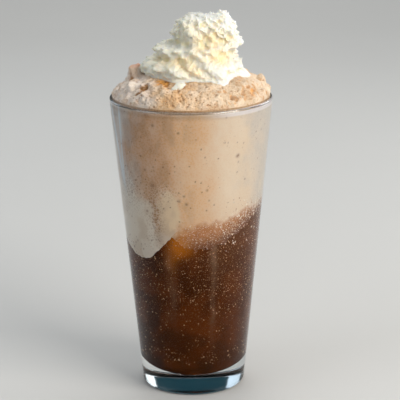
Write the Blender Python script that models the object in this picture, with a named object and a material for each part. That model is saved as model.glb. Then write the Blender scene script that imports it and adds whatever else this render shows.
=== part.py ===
"""An ice cream float: dark soda in a tall conical glass, a scoop of vanilla ice cream
pressed against the wall, a thick foam domed over the brim, and a piped swirl of
whipped cream on the foam. Metres, +Z up. The origin is the centre of the glass's
foot, on the surface that it stands on, and the front of the float faces -Y."""

import bpy
import numpy as np

# The glass is turned about Z. Its outer wall is a straight cone.
GLASS_HEIGHT = 0.1635
RIM_RADIUS = 0.0443
FOOT_RADIUS = 0.0284
RIM_WALL = 0.0020
FOOT_WALL = 0.0034
FLOOR_HEIGHT = 0.0084
FLOOR_CORNER = 0.0220
FOOT_CORNER = 0.0030
FOOT_RING_INNER = 0.0200
UNDERSIDE_RISE = 0.0014
# The underside's rings: share of the ring's inner radius, and share of the rise.
UNDERSIDE_RINGS = ((0.55, 1.0), (0.85, 0.6))
GLASS_SEGMENTS = 48

# Clearances between pieces that touch in the real float.
GAP = 0.0003
WALL_GAP = 0.0004

# The soda's upper face: a level, and hollows that the foam hangs down into.
# Each hollow has its centre (x, y), its depth and its width.
SODA_LEVEL = 0.1010
SODA_HOLLOWS = (
    ((0.0030, -0.0300), 0.0115, 0.0092),
    ((0.0150, -0.0270), 0.0070, 0.0068),
    ((0.0000, 0.0240), 0.0040, 0.0140),
)
CONTENTS_SEGMENTS = 60
# Rings of the face between soda and foam, as shares of the way to the wall.
FACE_SHARES = (1.0, 0.9, 0.78, 0.62, 0.42, 0.2)

# The scoop is a lumpy ball, flattened where it lies against the wall.
SCOOP_RADIUS = 0.0270
SCOOP_OFFSET = 0.0150
SCOOP_BEARING = np.radians(-54.0)
SCOOP_HEIGHT = 0.0975
SCOOP_LUMP = 0.0007
# Each wave of the lumps: turns along x, y and z of the ball, and its phase.
SCOOP_WAVES = ((5.0, 0.0, 2.0, 0.0), (0.0, 4.0, -3.0, 1.0), (3.0, 0.0, 6.0, 2.0))
SCOOP_SEGMENTS = 30
SCOOP_RINGS = 15

# The foam's head: a dome that starts just over the rim. It is square-shouldered at the
# front and rounder at the sides, most at the left. The powers are a superellipse's.
HEAD_RADIUS = 0.0428
HEAD_START = 0.0009
FOAM_BRINK_DROP = 0.0018
HEAD_HEIGHT = 0.0139
HEAD_TILT_Y = 0.011
HEAD_FRONT_POWER = 4.0
HEAD_LEFT_POWER = 1.2
HEAD_RIGHT_POWER = 2.7
HEAD_TOP_POWER = 0.6
HEAD_SIDE_SPAN = (0.012, 0.034)
HEAD_BACK_SPAN = (-0.026, -0.004)
HEAD_RINGS = 16
# The head's lumps are two products of waves: strength, then for each of the two waves
# its turns along x and y, in radians a metre, and its phase.
FOAM_LUMP = 0.0007
FOAM_WAVES = (
    (1.0, (620.0, 250.0, 1.3), (-210.0, 560.0, 0.4)),
    (0.6, (930.0, -540.0, 2.2), (410.0, 880.0, 0.0)),
)
LUMP_DEPTH_BELOW_RIM = 0.020
LUMP_FADE = (0.0015, 0.0050)
MOUND_FADE = (0.0009, 0.0030)
# Single mounds of foam on the head: centre (x, y), height and width. Each is a bell
# with a flattened top.
MOUND_POWER = 2.0
FOAM_MOUNDS = (
    ((-0.0306, -0.0010), 0.0084, 0.0034),
    ((-0.0340, -0.0140), 0.0016, 0.0040),
    ((0.0392, 0.0000), 0.0030, 0.0028),
    ((0.0290, -0.0240), 0.0016, 0.0045),
    ((-0.0120, -0.0365), 0.0012, 0.0040),
    ((0.0120, -0.0350), 0.0012, 0.0050),
    ((-0.0160, 0.0340), 0.0012, 0.0050),
    ((0.0220, 0.0300), 0.0010, 0.0060),
)

# The whipped cream leans to +X. Its sides follow these stations, from the lower edge
# to the crown: height over the rim, the middle's X, and the radius.
CREAM_STATIONS = (
    (0.0135, 0.0022, 0.0266),
    (0.0165, 0.0016, 0.0266),
    (0.0196, 0.0006, 0.0252),
    (0.0226, 0.0042, 0.0222),
    (0.0276, 0.0048, 0.0222),
    (0.0300, 0.0083, 0.0189),
    (0.0345, 0.0087, 0.0176),
    (0.0385, 0.0078, 0.0157),
    (0.0414, 0.0080, 0.0126),
    (0.0430, 0.0081, 0.0095),
    (0.0437, 0.0080, 0.0042),
)
CREAM_CROWN = (0.0080, -0.0010, 0.0439)
CREAM_MIDDLE_Y = -0.0015
CREAM_PEAK = (0.0172, -0.0020)
CREAM_PEAK_HEIGHT = 0.0034
CREAM_PEAK_WIDTH = 0.0030
CREAM_PEAK_FADE = (0.0300, 0.0420)
# The rope of cream: the rise of one turn, its depth, and the sharpness of its creases.
# A level of 0.62 puts as much of the roll outside the stations as inside them.
CREAM_PITCH = 0.0086
CREAM_ROLL_DEPTH = 0.0029
CREAM_CREASE_POWER = 0.7
CREAM_ROLL_LEVEL = 0.62
# Scallops: strength, how many round the cream, and their twist for each turn.
CREAM_SCALLOPS = ((0.0008, 17, 9.0), (0.0004, 7, -13.0))
CREAM_THINNING = (0.0020, 0.0120)
CREAM_SEGMENTS = 72
CREAM_RINGS = 33
CREAM_SEAT_RADIUS = 0.0298
CREAM_SEAT_FADE = 0.0030
CREAM_BASE_SHARES = (0.0, 0.30, 0.58, 0.82)
CREAM_LIFT = 0.0006
# Tongues of cream that run down over the foam: bearing from +X in degrees, how far
# they reach past the lower edge, and half their width in degrees.
CREAM_TONGUES = ((-62.0, 0.0060, 11.0), (-6.0, 0.0040, 13.0), (-112.0, 0.0022, 9.0), (140.0, 0.0030, 16.0))

COLOURS = {
    "glass": ((0.86, 0.90, 0.91), 0.03),
    "dark_soda": ((0.065, 0.026, 0.009), 0.06),
    "ice_cream": ((0.74, 0.64, 0.50), 0.45),
    "foam": ((0.62, 0.40, 0.24), 0.60),
    "whipped_cream": ((0.93, 0.90, 0.80), 0.50),
}

for old in list(bpy.data.objects):
    bpy.data.objects.remove(old, do_unlink=True)


def piece_material(name):
    """A Principled material in the piece's own colour and roughness."""
    colour, roughness = COLOURS[name]
    material = bpy.data.materials.new(name)
    material.use_nodes = True
    shader = material.node_tree.nodes["Principled BSDF"]
    shader.inputs["Base Color"].default_value = (*colour, 1.0)
    shader.inputs["Roughness"].default_value = roughness
    shader.inputs["Metallic"].default_value = 0.0
    if name == "glass":
        shader.inputs["Transmission Weight"].default_value = 1.0
    return material


def closed_skin(name, first_pole, rings, last_pole):
    """A closed solid from a pole, through rings of points, to another pole.
    rings is an array (ring, point, xyz); the rings run anticlockwise seen from
    above, and rise outside the solid's middle, so that the faces point out. Each
    four-cornered cell is split along its lower diagonal, so that two pieces with
    the same face between them split it alike."""
    count, around = rings.shape[:2]
    points = np.vstack((first_pole, rings.reshape(-1, 3), last_pole))
    index = 1 + np.arange(count * around).reshape(count, around)
    beside = np.roll(index, -1, axis=1)
    a, b, c, d = (cell.ravel() for cell in (index[:-1], beside[:-1], beside[1:], index[1:]))
    height = points[:, 2]
    split_ac = (height[a] + height[c] <= height[b] + height[d])[:, None]
    first = np.where(split_ac, np.column_stack((a, b, c)), np.column_stack((a, b, d)))
    second = np.where(split_ac, np.column_stack((a, c, d)), np.column_stack((b, c, d)))
    start = np.column_stack((np.zeros(around, int), beside[0], index[0]))
    end = np.column_stack((index[-1], beside[-1], np.full(around, len(points) - 1)))
    mesh = bpy.data.meshes.new(name)
    mesh.from_pydata(points.tolist(), [], np.vstack((first, second, start, end)).tolist())
    mesh.update()
    mesh.shade_smooth()
    piece = bpy.data.objects.new(name, mesh)
    bpy.context.collection.objects.link(piece)
    return piece


def bearings(segments):
    """Angles once round Z, anticlockwise from +X."""
    return np.linspace(0.0, 2.0 * np.pi, segments, endpoint=False)


def turned(profile, segments):
    """Rings from a profile of (radius, height) pairs turned about Z."""
    radius, height = np.array(profile).T
    angle = bearings(segments)
    x = radius[:, None] * np.cos(angle)
    y = radius[:, None] * np.sin(angle)
    z = np.broadcast_to(height[:, None], x.shape)
    return np.stack((x, y, z), axis=-1)


def outer_radius(z):
    """The glass's outer cone at height z."""
    return FOOT_RADIUS + (RIM_RADIUS - FOOT_RADIUS) * z / GLASS_HEIGHT


def inner_radius(z):
    """The glass's inner cone: the outer one less a wall that thins to the rim."""
    wall = FOOT_WALL + (RIM_WALL - FOOT_WALL) * z / GLASS_HEIGHT
    return outer_radius(z) - wall


def corner_arc(cone, floor, radius, steps):
    """An arc tangent to a floor and to a cone, from the floor outwards and up."""
    slope = (cone(GLASS_HEIGHT) - cone(0.0)) / GLASS_HEIGHT
    middle_z = floor + radius
    middle_r = cone(middle_z) - radius * np.hypot(1.0, slope)
    angle = np.linspace(-0.5 * np.pi, -np.arctan(slope), steps)
    return np.stack((middle_r + radius * np.cos(angle), middle_z + radius * np.sin(angle)), axis=-1)


def soda_height(x, y):
    """The level, less a bell-shaped hollow wherever the foam hangs down."""
    height = np.full_like(x, SODA_LEVEL)
    for (cx, cy), depth, width in SODA_HOLLOWS:
        height = height - depth * np.exp(-((x - cx) ** 2 + (y - cy) ** 2) / (2 * width**2))
    return height


def soft_step(value, low, high):
    """0 below low, 1 above high, and a smooth S between them."""
    t = np.clip((value - low) / (high - low), 0.0, 1.0)
    return t * t * (3.0 - 2.0 * t)


def head_height(x, y):
    """The foam's dome without its lumps: a superellipse over the rim, tilted a little,
    whose power passes from the front's to the left's and the right's."""
    spread = np.clip(np.hypot(x, y) / HEAD_RADIUS, 0.0, 1.0)
    left = (HEAD_LEFT_POWER - HEAD_FRONT_POWER) * soft_step(-x, *HEAD_SIDE_SPAN)
    right = (HEAD_RIGHT_POWER - HEAD_FRONT_POWER) * soft_step(x, *HEAD_SIDE_SPAN)
    power = HEAD_FRONT_POWER + (left + right) * soft_step(y, *HEAD_BACK_SPAN)
    dome = (HEAD_HEIGHT + HEAD_TILT_Y * y) * (1.0 - spread**power) ** HEAD_TOP_POWER
    return GLASS_HEIGHT + HEAD_START + dome


def make_glass():
    """Underside, foot ring, outer wall, round rim, inner wall and floor in one turn."""
    foot = corner_arc(outer_radius, 0.0, FOOT_CORNER, 5)
    floor = corner_arc(inner_radius, FLOOR_HEIGHT, FLOOR_CORNER, 9)[::-1]
    bead = 0.5 * RIM_WALL
    bead_z = GLASS_HEIGHT - bead
    bead_r = 0.5 * (outer_radius(bead_z) + inner_radius(bead_z))
    over = np.linspace(0.0, np.pi, 7)
    rim = np.stack((bead_r + bead * np.cos(over), bead_z + bead * np.sin(over)), axis=-1)
    underside = [(inward * FOOT_RING_INNER, up * UNDERSIDE_RISE) for inward, up in UNDERSIDE_RINGS]
    profile = [*underside, (FOOT_RING_INNER, 0.0), *foot, *rim, *floor]
    rings = turned(profile, GLASS_SEGMENTS)
    return closed_skin("glass", (0, 0, UNDERSIDE_RISE), rings, (0, 0, FLOOR_HEIGHT))


def contents_directions():
    """Unit vectors (x, y) once round the glass, for the soda and the foam."""
    angle = bearings(CONTENTS_SEGMENTS)
    return np.stack((np.cos(angle), np.sin(angle)), axis=-1)


def face_rings(lift):
    """Rings of the face where soda and foam meet, from the wall to the middle."""
    rings = []
    for share in FACE_SHARES:
        flat = contents_directions() * share * (inner_radius(SODA_LEVEL) - WALL_GAP)
        z = soda_height(flat[:, 0], flat[:, 1]) + lift
        if share == 1.0:
            flat = contents_directions() * (inner_radius(z) - WALL_GAP)[:, None]
        rings.append(np.column_stack((flat, z)))
    return np.array(rings)


def make_soda():
    """The soda fills the glass from its floor up to the foam's hanging underside."""
    corner = corner_arc(inner_radius, FLOOR_HEIGHT, FLOOR_CORNER, 8)
    middle = (corner[0, 0], FLOOR_HEIGHT + FLOOR_CORNER)
    corner = middle + (corner - middle) * (1.0 - WALL_GAP / FLOOR_CORNER)
    bottom = turned([(0.5 * corner[0, 0], corner[0, 1]), *corner], CONTENTS_SEGMENTS)
    face = face_rings(0.0)
    wall = []
    for share in (0.25, 0.5, 0.75):
        z = corner[-1, 1] + share * (face[0, :, 2] - corner[-1, 1])
        flat = contents_directions() * (inner_radius(z) - WALL_GAP)[:, None]
        wall.append(np.column_stack((flat, z)))
    rings = np.concatenate((bottom, np.array(wall), face))
    centre = soda_height(np.zeros(1), np.zeros(1))[0]
    return closed_skin("dark_soda", (0, 0, corner[0, 1]), rings, (0, 0, centre))


def scoop_points(growth):
    """A ball with soft lumps of three wave directions, larger by growth all round."""
    around = bearings(SCOOP_SEGMENTS)
    up = np.linspace(-0.5 * np.pi, 0.5 * np.pi, SCOOP_RINGS + 2)[:, None]
    normal = np.stack(
        (np.cos(up) * np.cos(around), np.cos(up) * np.sin(around), np.sin(up) + 0 * around), axis=-1
    )
    nx, ny, nz = np.moveaxis(normal, -1, 0)
    lump = sum(np.sin(a * nx + b * ny + c * nz + phase) for a, b, c, phase in SCOOP_WAVES)
    centre = np.array((
        SCOOP_OFFSET * np.sin(SCOOP_BEARING),
        -SCOOP_OFFSET * np.cos(SCOOP_BEARING),
        SCOOP_HEIGHT,
    ))
    return centre + normal * (SCOOP_RADIUS + growth + SCOOP_LUMP * lump)[..., None]


def make_scoop():
    """The scoop, with all that would pass the glass pressed back against its wall."""
    points = scoop_points(0.0)
    limit = inner_radius(points[..., 2]) - WALL_GAP
    reach = np.hypot(points[..., 0], points[..., 1])
    points[..., :2] *= np.minimum(1.0, limit / np.maximum(reach, GAP))[..., None]
    return closed_skin("ice_cream", points[0, 0], points[1:-1], points[-1, 0])


def cut_for_scoop(pieces):
    """A hidden ball, larger by the gap, hollows each piece for the scoop."""
    points = scoop_points(GAP)
    cutter = closed_skin("scoop_cutter", points[0, 0], points[1:-1], points[-1, 0])
    cutter.hide_render = True
    cutter.display_type = "WIRE"
    for piece in pieces:
        cut = piece.modifiers.new("scoop_hollow", "BOOLEAN")
        cut.operation = "DIFFERENCE"
        cut.solver = "EXACT"
        cut.object = cutter


def tongue_reach(angle):
    """How far the cream's tongues reach past its lower edge at a bearing: bells."""
    reach = np.zeros_like(angle)
    for bearing, extra, half_width in CREAM_TONGUES:
        aside = np.degrees(np.angle(np.exp(1j * (angle - np.radians(bearing)))))
        reach = reach + extra * np.exp(-((aside / half_width) ** 2))
    return reach


def foam_lumps(points):
    """Pushes the head along lines from a point below it by products of waves, and then
    up by the single mounds; both are faded at the rim and under the cream."""
    x, y, z = np.moveaxis(points, -1, 0)
    from_cream = x - CREAM_STATIONS[0][1], y - CREAM_MIDDLE_Y
    seat = CREAM_SEAT_RADIUS + tongue_reach(np.arctan2(from_cream[1], from_cream[0]))
    outside = soft_step(np.hypot(*from_cream), seat, seat + CREAM_SEAT_FADE)
    wave = np.zeros_like(x)
    for strength, (ax, ay, a_phase), (bx, by, b_phase) in FOAM_WAVES:
        wave = wave + strength * np.sin(ax * x + ay * y + a_phase) * np.sin(bx * x + by * y + b_phase)
    push = FOAM_LUMP * wave * outside * soft_step(z - GLASS_HEIGHT, *LUMP_FADE)
    mound = np.zeros_like(x)
    for (cx, cy), tall, width in FOAM_MOUNDS:
        distance2 = (x - cx) ** 2 + (y - cy) ** 2
        mound = mound + tall * np.exp(-((distance2 / (2 * width**2)) ** MOUND_POWER))
    mound = mound * outside * soft_step(z - GLASS_HEIGHT, *MOUND_FADE)
    away = points - np.array((0.0, 0.0, GLASS_HEIGHT - LUMP_DEPTH_BELOW_RIM))
    away = away / np.linalg.norm(away, axis=-1, keepdims=True)
    return points + away * push[..., None] + np.array((0.0, 0.0, 1.0)) * mound[..., None]


def make_foam():
    """The foam: an underside on the soda, a side against the wall, and the head."""
    under = face_rings(GAP)[::-1]
    side = []
    brink = GLASS_HEIGHT - FOAM_BRINK_DROP
    for share in (0.3, 0.65, 1.0):
        z = under[-1][:, 2] + share * (brink - under[-1][:, 2])
        flat = contents_directions() * (inner_radius(z) - WALL_GAP)[:, None]
        side.append(np.column_stack((flat, z)))
    climb = np.linspace(0.0, 0.5 * np.pi, HEAD_RINGS + 1)[:-1]
    head = []
    for turn in climb:
        flat = contents_directions() * HEAD_RADIUS * np.sqrt(np.cos(turn))
        head.append(np.column_stack((flat, head_height(flat[:, 0], flat[:, 1]))))
    head = foam_lumps(np.array(head))
    rings = np.concatenate((under, np.array(side), head))
    middle = np.zeros(1)
    low = soda_height(middle, middle)[0] + GAP
    high = head_height(middle, middle)[0]
    return closed_skin("foam", (0, 0, low), rings, (0, 0, high))


def smooth_path(stations, samples):
    """Samples of the smooth curve through the stations (Catmull-Rom, even spacing)."""
    known = np.array(stations)
    known = np.vstack((2 * known[0] - known[1], known, 2 * known[-1] - known[-2]))
    place = np.linspace(0.0, len(stations) - 1.000001, samples)
    first = place.astype(int)
    t = (place - first)[:, None]
    a, b, c, d = (known[first + k] for k in range(4))
    return 0.5 * (2 * b + (c - a) * t + (2 * a - 5 * b + 4 * c - d) * t**2 + (3 * b - a - 3 * c + d) * t**3)


def make_cream():
    """The piped swirl: the stations' outline, with rolls that climb round it as one
    thread of the given pitch, and scallops that twist against them. The lowest part
    follows the foam's head and runs out into the tongues."""
    angle = bearings(CREAM_SEGMENTS)
    rise, middle, radius = smooth_path(CREAM_STATIONS, CREAM_RINGS).T
    rise, middle, radius = rise[:, None], middle[:, None], radius[:, None]
    start, full, _, above = (station[0] for station in CREAM_STATIONS[:4])
    turn = rise / CREAM_PITCH - angle / (2 * np.pi)
    roll = np.abs(np.sin(np.pi * turn)) ** CREAM_CREASE_POWER - CREAM_ROLL_LEVEL
    scallop = sum(depth * np.sin(count * angle + twist * turn) for depth, count, twist in CREAM_SCALLOPS)
    whole = soft_step(radius, *CREAM_THINNING) * soft_step(rise, start, full)
    swell = (CREAM_ROLL_DEPTH * roll + scallop) * whole
    low = 1.0 - soft_step(rise, start, above)
    spread = radius + swell + tongue_reach(angle) * low
    x = middle + spread * np.cos(angle)
    y = CREAM_MIDDLE_Y + spread * np.sin(angle)
    on_foam = head_height(x, y) + CREAM_LIFT
    z = np.maximum(GLASS_HEIGHT + rise + low * (on_foam - GLASS_HEIGHT - start), on_foam)
    from_peak2 = (x - CREAM_PEAK[0]) ** 2 + (y - CREAM_PEAK[1]) ** 2
    peak = CREAM_PEAK_HEIGHT * np.exp(-from_peak2 / (2 * CREAM_PEAK_WIDTH**2))
    z = z + peak * soft_step(rise, *CREAM_PEAK_FADE)
    body = np.stack((x, y, z), axis=-1)
    foot = np.array((CREAM_STATIONS[0][1], CREAM_MIDDLE_Y))
    base = []
    for share in CREAM_BASE_SHARES:
        flat = foot + (body[0, :, :2] - foot) * share
        base.append(np.column_stack((flat, head_height(flat[:, 0], flat[:, 1]) + CREAM_LIFT)))
    crown = (CREAM_CROWN[0], CREAM_CROWN[1], GLASS_HEIGHT + CREAM_CROWN[2])
    rings = np.concatenate((np.array(base[1:]), body))
    return closed_skin("whipped_cream", base[0][0], rings, crown)


glass = make_glass()
soda = make_soda()
scoop = make_scoop()
foam = make_foam()
cream = make_cream()
cut_for_scoop((soda, foam))

for made in (glass, soda, scoop, foam, cream):
    made.data.materials.append(piece_material(made.name))
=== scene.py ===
import math

import bpy
import numpy as np
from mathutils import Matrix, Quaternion, Vector


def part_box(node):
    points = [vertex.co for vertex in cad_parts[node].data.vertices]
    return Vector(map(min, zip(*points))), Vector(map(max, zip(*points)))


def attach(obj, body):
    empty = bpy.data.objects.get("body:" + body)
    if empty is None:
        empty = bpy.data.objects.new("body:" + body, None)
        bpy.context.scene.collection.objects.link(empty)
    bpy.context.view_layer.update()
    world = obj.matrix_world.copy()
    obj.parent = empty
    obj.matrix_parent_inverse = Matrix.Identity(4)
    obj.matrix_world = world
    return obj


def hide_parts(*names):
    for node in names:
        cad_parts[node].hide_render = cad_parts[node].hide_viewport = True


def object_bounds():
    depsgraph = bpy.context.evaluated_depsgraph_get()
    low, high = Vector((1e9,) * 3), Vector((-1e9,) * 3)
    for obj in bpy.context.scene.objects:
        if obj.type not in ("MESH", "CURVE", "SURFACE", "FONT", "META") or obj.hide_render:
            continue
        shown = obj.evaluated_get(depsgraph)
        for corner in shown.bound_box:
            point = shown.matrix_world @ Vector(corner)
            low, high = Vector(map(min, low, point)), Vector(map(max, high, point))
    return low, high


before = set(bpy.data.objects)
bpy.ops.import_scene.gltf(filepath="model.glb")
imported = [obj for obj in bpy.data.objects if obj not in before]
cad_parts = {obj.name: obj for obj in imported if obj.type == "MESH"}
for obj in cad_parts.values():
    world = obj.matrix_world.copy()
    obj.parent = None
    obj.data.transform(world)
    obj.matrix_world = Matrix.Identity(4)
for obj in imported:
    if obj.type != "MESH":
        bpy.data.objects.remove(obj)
cad_low, cad_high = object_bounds()

# The glass: one tall cone of clear soda-lime glass, blown into a mould, with a thin
# fire-rounded rim, a thick clear floor and a foot ring round a slightly hollow
# underside. It is one profile turned about Z, fine enough to refract smoothly.

glass_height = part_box("glass")[1].z
rim_radius = 0.0443
foot_radius = 0.0284
rim_wall = 0.0020
foot_wall = 0.0034
floor_height = 0.0084
floor_corner = 0.0220
foot_corner = 0.0024
foot_ring_inner = 0.0200
underside_rise = 0.0004


def linear(red, green, blue):
    """A colour given as it looks on a screen, 0 to 255, as the shader's linear light."""
    share = np.array((red, green, blue)) / 255.0
    light = np.where(share <= 0.04045, share / 12.92, ((share + 0.055) / 1.055) ** 2.4)
    return (*(float(part) for part in light), 1.0)


class Value:
    """A shader value that takes Python arithmetic: each operator adds a Math node."""

    def __init__(self, paint, socket):
        self.paint = paint
        self.socket = socket

    def math(self, operation, *values):
        return self.paint.node("Math", "Value", {"operation": operation}, dict(enumerate(values)))

    def __add__(self, other):
        return self.math("ADD", self, other)

    def __radd__(self, other):
        return self.math("ADD", other, self)

    def __sub__(self, other):
        return self.math("SUBTRACT", self, other)

    def __rsub__(self, other):
        return self.math("SUBTRACT", other, self)

    def __mul__(self, other):
        return self.math("MULTIPLY", self, other)

    def __rmul__(self, other):
        return self.math("MULTIPLY", other, self)

    def step(self, low, high):
        """0 where the value is at low, 1 where it is at high, an S between them."""
        settings = {"interpolation_type": "SMOOTHSTEP"}
        sockets = {"Value": self, "From Min": low, "From Max": high}
        return self.paint.node("MapRange", "Result", settings, sockets)


class Paint:
    """One procedural material on a Principled shader, in Object coordinates (metres)."""

    def __init__(self, name, **constants):
        self.material = bpy.data.materials.new(name)
        self.material.use_nodes = True
        self.tree = self.material.node_tree
        self.shader = self.tree.nodes["Principled BSDF"]
        self.place = self.node("TexCoord", "Object")
        for socket, value in constants.items():
            self.shader.inputs[socket.replace("_", " ")].default_value = value

    def find(self, sockets, key):
        """A node's socket by number, identifier or name."""
        if isinstance(key, int):
            return sockets[key]
        for socket in sockets:
            if key in (socket.identifier, socket.name) and socket.enabled:
                return socket
        raise KeyError(key)

    def node(self, kind, out=None, settings=None, sockets=None):
        """Adds a node: its settings first, then its sockets' values or links. Gives the
        output named out as a Value, or the node itself."""
        made = self.tree.nodes.new("ShaderNode" + kind)
        for name, setting in (settings or {}).items():
            setattr(made, name, setting)
        for key, value in (sockets or {}).items():
            self.join(value, self.find(made.inputs, key))
        return made if out is None else Value(self, self.find(made.outputs, out))

    def join(self, value, socket):
        """Links a Value to a socket, or sets the socket's own value."""
        if isinstance(value, Value):
            self.tree.links.new(value.socket, socket)
        else:
            socket.default_value = value

    def feed(self, name, value):
        """Gives one of the Principled shader's sockets a value or a link."""
        self.join(value, self.shader.inputs[name])

    def mix(self, share, first, second):
        """first where share is 0 and second where it is 1, as colours."""
        sockets = {"Factor_Float": share, "A_Color": first, "B_Color": second}
        return self.node("Mix", "Result_Color", {"data_type": "RGBA"}, sockets)

    def layers(self, tone, *coats):
        """Colours laid over a tone one by one: each coat is its share, 0 to 1, and its
        red, green and blue as they look on a screen."""
        for share, colour in coats:
            tone = self.mix(share, tone, linear(*colour))
        return tone

    def cloud(self, size, detail=3.0, rough=0.5, shift=(0.0, 0.0, 0.0), stretch=(1.0, 1.0, 1.0)):
        """Soft noise, 0 to 1 about 0.5, with features of the given size in metres."""
        sockets = {"Vector": self.place, "Location": shift, "Scale": stretch}
        place = self.node("Mapping", "Vector", None, sockets)
        sockets = {"Vector": place, "Scale": 1.0 / size, "Detail": detail, "Roughness": rough}
        return self.node("TexNoise", "Fac", None, sockets)

    def cells(self, size, feature="F1"):
        """Distance to the nearest of scattered points, 0 at each point, 1 a cell away."""
        sockets = {"Vector": self.place, "Scale": 1.0 / size}
        return self.node("TexVoronoi", "Distance", {"feature": feature}, sockets)

    def specks(self, size, edge, core, patch, none, all_, shift):
        """Dots, one to a cell, 0 at the edge distance and 1 from the core on, kept where
        a cloud of the patch size goes from none to all."""
        kept = self.cloud(patch, shift=shift).step(none, all_)
        return self.cells(size).step(edge, core) * kept

    def attribute(self, name):
        """The piece's own painted value of that name, 0 to 1."""
        return self.node("Attribute", "Fac", {"attribute_name": name})

    def axis(self, name):
        """One Object coordinate, X, Y or Z."""
        return self.node("SeparateXYZ", name, None, {"Vector": self.place})

    def bump(self, height, depth, strength):
        """Small relief of the given depth in metres, for the Normal socket."""
        sockets = {"Height": height, "Distance": depth, "Strength": strength}
        return self.node("Bump", "Normal", None, sockets)


def polar(radius, angle, height):
    """Points round Z: x and y are the radius times the angle's cosine and sine."""
    x, y = radius * np.cos(angle), radius * np.sin(angle)
    return np.stack(np.broadcast_arrays(x, y, height), axis=-1)


def full_turn(segments):
    """Even angles once round Z, from +X."""
    return np.linspace(0.0, 2.0 * np.pi, segments, endpoint=False)


def turned(radius, height, segments):
    """Rings (ring, point, xyz) of a profile turned about Z."""
    return polar(np.asarray(radius)[:, None], full_turn(segments), np.asarray(height)[:, None])


def closed_piece(name, rings, first_pole, last_pole, paint, slot, node=None, painted=None):
    """A smooth closed mesh from a pole through rings of points to another pole, made as
    whole arrays: each cell is a quad, and the poles are fans. What is painted is one
    number for each point, for the material to read."""
    count, around = rings.shape[:2]
    points = np.vstack((first_pole, rings.reshape(-1, 3), last_pole)).astype(np.float32)
    index = 1 + np.arange(count * around).reshape(count, around)
    beside = np.roll(index, -1, axis=1)
    quads = np.stack((index[:-1], beside[:-1], beside[1:], index[1:]), axis=-1).reshape(-1, 4)
    start = np.column_stack((np.zeros(around, int), beside[0], index[0]))
    end = np.column_stack((index[-1], beside[-1], np.full(around, len(points) - 1)))
    piece = mesh_piece(name, points, (start, quads, end), paint, node)
    for label, values in (painted or {}).items():
        flat = np.concatenate(([values[0].mean()], values.ravel(), [values[-1].mean()]))
        layer = piece.data.attributes.new(label, "FLOAT", "POINT")
        layer.data.foreach_set("value", flat.astype(np.float32))


def mesh_piece(name, points, face_groups, paint, node=None):
    """A smooth mesh from points and groups of faces with equal corner counts; it rides
    on the root body, and stands for a CAD node when one is named."""
    mesh = bpy.data.meshes.new(name)
    corners = np.concatenate([group.ravel() for group in face_groups]).astype(np.int32)
    sizes = np.concatenate([np.full(len(group), group.shape[1]) for group in face_groups])
    starts = np.concatenate(([0], np.cumsum(sizes)[:-1])).astype(np.int32)
    mesh.vertices.add(len(points))
    mesh.vertices.foreach_set("co", np.asarray(points, np.float32).ravel())
    mesh.loops.add(len(corners))
    mesh.loops.foreach_set("vertex_index", corners)
    mesh.polygons.add(len(sizes))
    mesh.polygons.foreach_set("loop_start", starts)
    mesh.update(calc_edges=True)
    mesh.shade_smooth()
    mesh.materials.append(paint.material)
    piece = bpy.data.objects.new(name, mesh)
    bpy.context.scene.collection.objects.link(piece)
    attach(piece, "root")
    if node is not None:
        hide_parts(node)
    return piece


def outer_radius(z):
    """The outer cone: the foot's radius plus an even share of the flare."""
    return foot_radius + (rim_radius - foot_radius) * z / glass_height


def inner_radius(z):
    """The outer cone less a wall that thins evenly to the rim."""
    return outer_radius(z) - foot_wall - (rim_wall - foot_wall) * z / glass_height


def corner_arc(cone, floor, radius, steps):
    """An arc tangent to a floor and to a cone, from the floor outwards and up."""
    slope = (cone(glass_height) - cone(0.0)) / glass_height
    middle_z = floor + radius
    middle_r = cone(middle_z) - radius * np.hypot(1.0, slope)
    angle = np.linspace(-0.5 * np.pi, -np.arctan(slope), steps)
    return np.stack((middle_r + radius * np.cos(angle), middle_z + radius * np.sin(angle)))


def make_glass():
    """Underside, foot ring, outer wall, bead of the rim, inner wall and floor."""
    foot = corner_arc(outer_radius, 0.0, foot_corner, 14)
    floor = corner_arc(inner_radius, floor_height, floor_corner, 32)[:, ::-1]
    bead = 0.5 * rim_wall
    bead_z = glass_height - bead
    bead_r = 0.5 * (outer_radius(bead_z) + inner_radius(bead_z))
    over = np.linspace(0.0, np.pi, 17)
    rim = np.stack((bead_r + bead * np.cos(over), bead_z + bead * np.sin(over)))
    share = np.linspace(0.04, 1.0, 22)
    underside = np.stack((foot_ring_inner * share, underside_rise * (1.0 - share**4)))
    wall_z = np.linspace(foot[1, -1], bead_z, 18)[1:-1]
    outside = np.stack((outer_radius(wall_z), wall_z))
    inside_z = np.linspace(bead_z, floor[1, 0], 18)[1:-1]
    inside = np.stack((inner_radius(inside_z), inside_z))
    floor_share = np.linspace(1.0, 0.05, 8)[1:]
    flat = np.stack((floor[0, -1] * floor_share, np.full(7, floor_height)))
    radius, height = np.hstack((underside, foot, outside, rim, inside, floor, flat))
    paint = Paint(
        "clear_glass", Transmission_Weight=1.0, IOR=1.5, Specular_Tint=(0.09, 0.10, 0.11, 1.0),
        Coat_IOR=1.9, Coat_Roughness=0.03,
    )
    smear = paint.cloud(0.018, detail=5.0, rough=0.6)
    paint.feed("Base Color", paint.mix(smear, (0.955, 0.985, 0.985, 1.0), (0.985, 1.0, 1.0, 1.0)))
    scuffed = paint.axis("Z").step(0.0008, 0.0004)
    paint.feed("Roughness", smear.step(0.45, 0.9) * 0.02 + scuffed * 0.13)
    drift = paint.cloud(0.03, detail=1.0, stretch=(1.0, 1.0, 0.35))
    paint.feed("Normal", paint.bump(drift, 0.0002, strength=0.2))
    paint.feed("Coat Weight", paint.axis("Z").step(glass_height - 0.0030, glass_height - 0.0016))
    rings = turned(radius, height, 176)
    poles = (0, 0, underside_rise), (0, 0, floor_height)
    closed_piece("drinking_glass", rings, *poles, paint, "clear_glass", "glass")


make_glass()

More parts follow.
